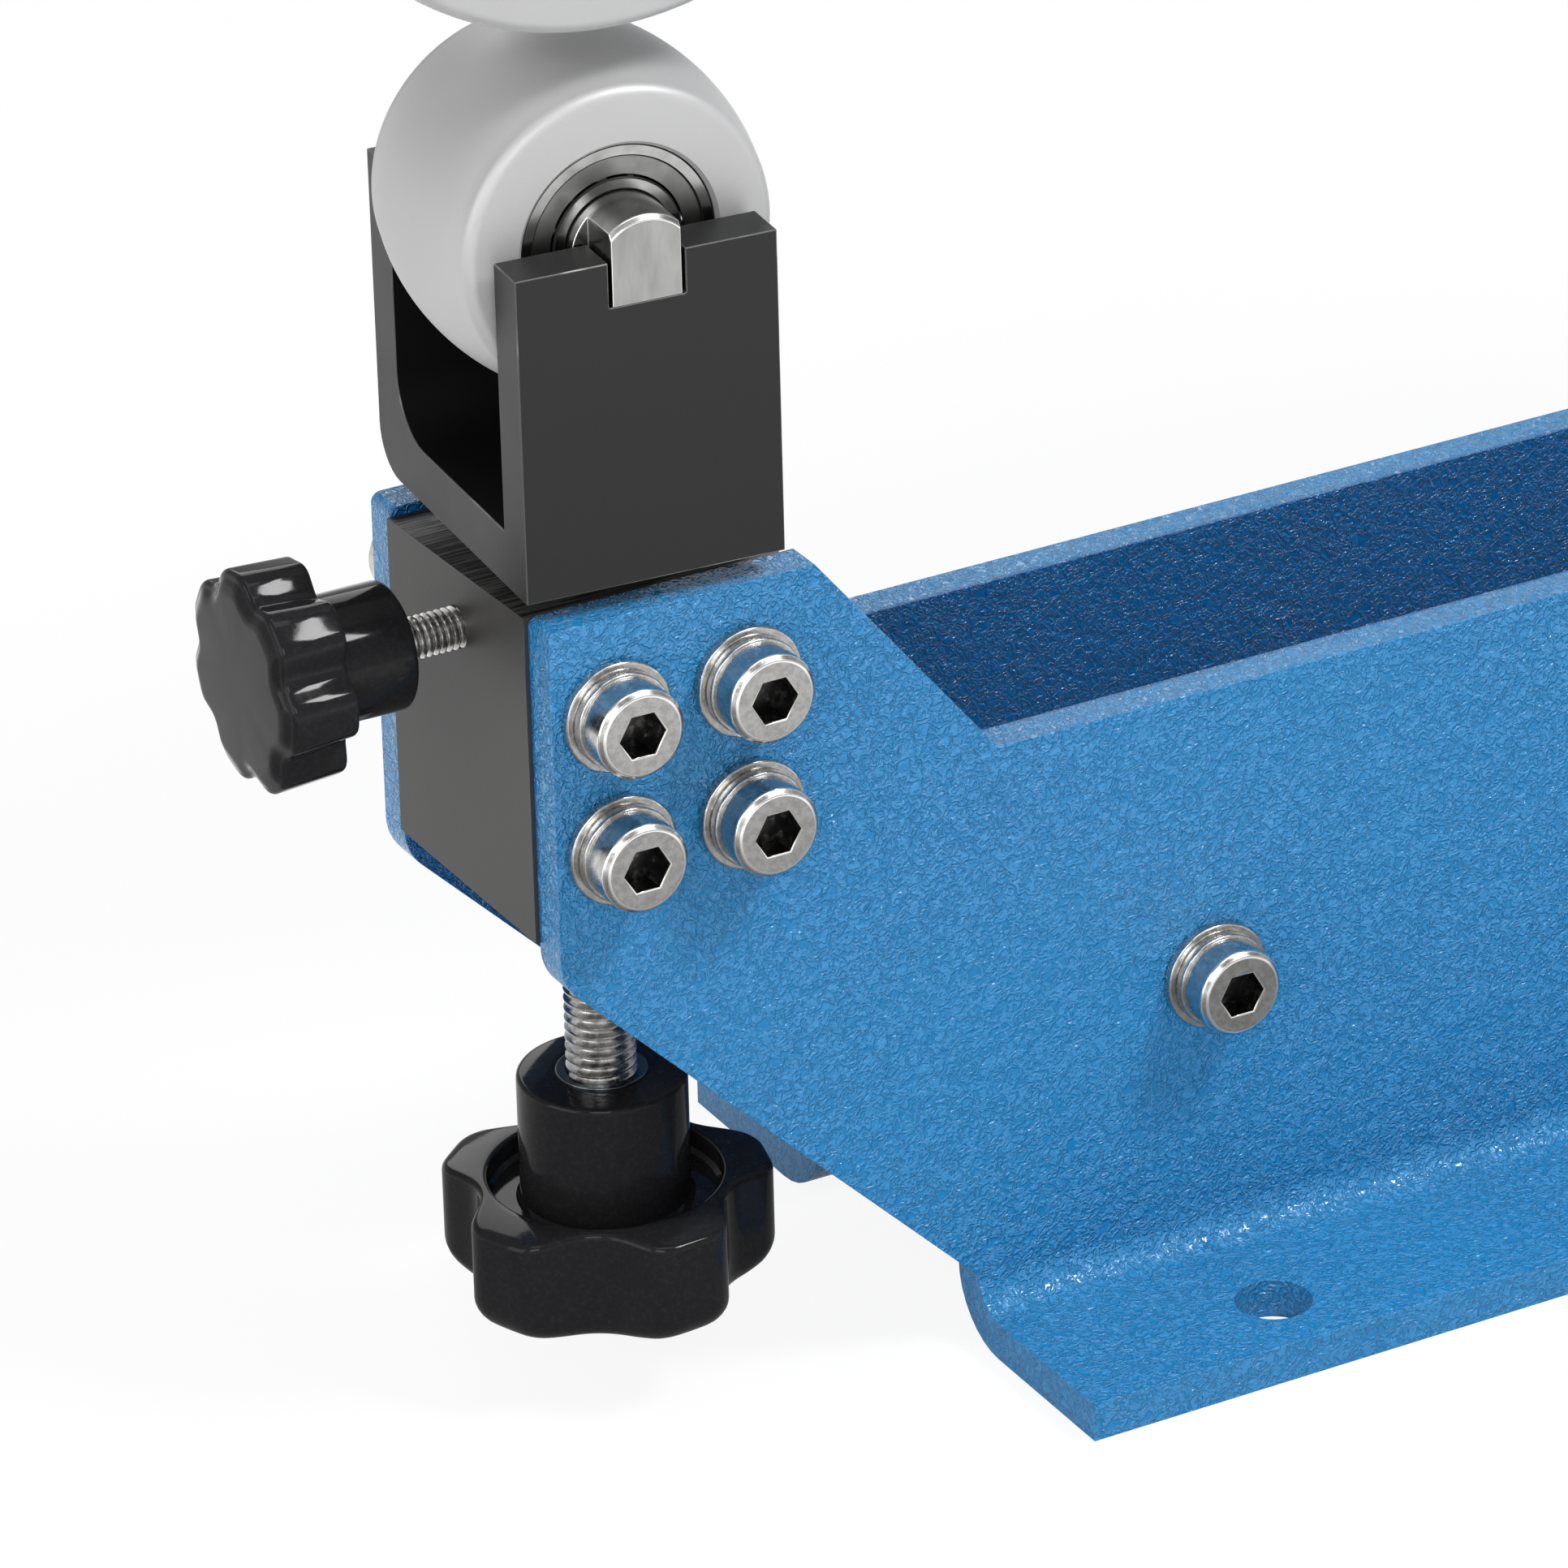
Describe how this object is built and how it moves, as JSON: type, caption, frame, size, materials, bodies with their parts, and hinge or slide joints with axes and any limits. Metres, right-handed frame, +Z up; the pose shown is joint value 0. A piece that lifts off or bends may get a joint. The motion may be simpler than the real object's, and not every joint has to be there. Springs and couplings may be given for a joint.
{
  "type": "english wheel",
  "caption": "Bench-top English wheel: a twin-plate C frame with a flat upper wheel over a crowned anvil wheel in a screw-lifted, swivelling yoke with a clamp screw.",
  "frame": {"origin": "centre of the four bench-bolt holes, on the underside of the feet", "axes": "+X along the frame from the wheels to the column, +Y across the frame from the near side plate to the far one, +Z up, normal to the bench"},
  "size_m": [0.4375, 0.1146, 0.3131],
  "materials": {
    "blue_paint": "hammered blue powder coat on steel plate",
    "black_block": "satin black over sawn steel bar",
    "black_yoke": "satin black steel with thinly worn edges",
    "black_screw": "black oxide",
    "turned_steel": "turned bright steel",
    "stainless": "bright stainless",
    "zinc_screw": "bright zinc on rolled threads",
    "insert_steel": "dark turned steel",
    "wheel_steel": "ground and satin polished",
    "bearing_steel": "ground",
    "shield_steel": "pressed, satin",
    "knob_plastic": "moulded glossy black phenolic",
    "brass_pad": "turned"
  },
  "bodies": {
    "frame": {"near_side_plate": "blue_paint", "far_side_plate": "blue_paint", "guide_block": "black_block", "tie_bars": "turned_steel", "block_bolts_near": "stainless", "block_bolts_far": "stainless", "tie_bolts_near": "stainless", "tie_bolts_far": "stainless", "flat_washers_near": "stainless", "flat_washers_far": "stainless", "spring_washers_near": "stainless", "spring_washers_far": "stainless", "upper_axle": "turned_steel", "upper_axle_bolts": "stainless", "upper_axle_washers": "stainless", "upper_spacers": "turned_steel", "upper_bearing_inner_rings": "bearing_steel"},
    "thrust_ball": {"thrust_ball": "bearing_steel"},
    "yoke": {"yoke": "black_yoke", "guide_stem": "turned_steel", "yoke_screw": "black_screw", "anvil_axle": "turned_steel", "anvil_bearing_inner_rings": "bearing_steel", "anvil_spacer": "turned_steel"},
    "anvil": {"anvil_wheel": "wheel_steel", "anvil_bearing_outer_rings": "bearing_steel", "anvil_bearing_shields": "shield_steel"},
    "anvil_balls": {"anvil_bearing_cages": "shield_steel", "anvil_bearing_balls": "bearing_steel"},
    "lift_screw": {"lift_screw": "zinc_screw", "lift_knob": "knob_plastic", "lift_knob_insert": "insert_steel"},
    "clamp_pad": {"clamp_pad": "brass_pad"},
    "clamp_screw": {"clamp_screw": "zinc_screw", "clamp_knob": "knob_plastic", "clamp_knob_insert": "insert_steel"},
    "upper_wheel": {"upper_wheel": "wheel_steel", "upper_bearing_outer_rings": "bearing_steel", "upper_bearing_shields": "shield_steel"},
    "upper_balls": {"upper_bearing_cages": "shield_steel", "upper_bearing_balls": "bearing_steel"}
  },
  "joints": [
    {"name": "lift", "type": "slide", "parent": "frame", "child": "thrust_ball", "axis": [0, 0, 1], "range_m": [-0.003, 0.006]},
    {"name": "lift_turn", "type": "hinge", "parent": "thrust_ball", "child": "lift_screw", "pos_m": [-0.2085, 0, 0.1], "axis": [0, 0, 1], "range_deg": [-721, 1441]},
    {"name": "yoke_swivel", "type": "hinge", "parent": "thrust_ball", "child": "yoke", "pos_m": [-0.2085, 0, 0.103], "axis": [0, 0, 1], "continuous": true},
    {"name": "anvil_spin", "type": "hinge", "parent": "yoke", "child": "anvil", "pos_m": [-0.2085, 0, 0.1762], "axis": [0.0785, 0.9969, 0], "continuous": true},
    {"name": "anvil_balls_orbit", "type": "hinge", "parent": "yoke", "child": "anvil_balls", "pos_m": [-0.2085, 0, 0.1762], "axis": [0.0785, 0.9969, 0], "continuous": true},
    {"name": "upper_spin", "type": "hinge", "parent": "frame", "child": "upper_wheel", "pos_m": [-0.2085, 0, 0.2571], "axis": [0, 1, 0], "continuous": true},
    {"name": "upper_balls_orbit", "type": "hinge", "parent": "frame", "child": "upper_balls", "pos_m": [-0.2085, 0, 0.2571], "axis": [0, 1, 0], "continuous": true},
    {"name": "clamp_slide", "type": "slide", "parent": "frame", "child": "clamp_pad", "axis": [-1, 0, 0], "range_m": [0, 0.004]},
    {"name": "clamp_turn", "type": "hinge", "parent": "clamp_pad", "child": "clamp_screw", "pos_m": [-0.2353, 0, 0.1183], "axis": [-1, 0, 0], "range_deg": [-1, 1441]}
  ],
  "couplings": [
    {"joint": "lift_turn", "follows": "lift", "rad_per_m": 4188.8},
    {"joint": "anvil_balls_orbit", "follows": "anvil_spin", "ratio": 0.5877},
    {"joint": "upper_balls_orbit", "follows": "upper_spin", "ratio": 0.6049},
    {"joint": "clamp_turn", "follows": "clamp_slide", "rad_per_m": 6283.2}
  ]
}
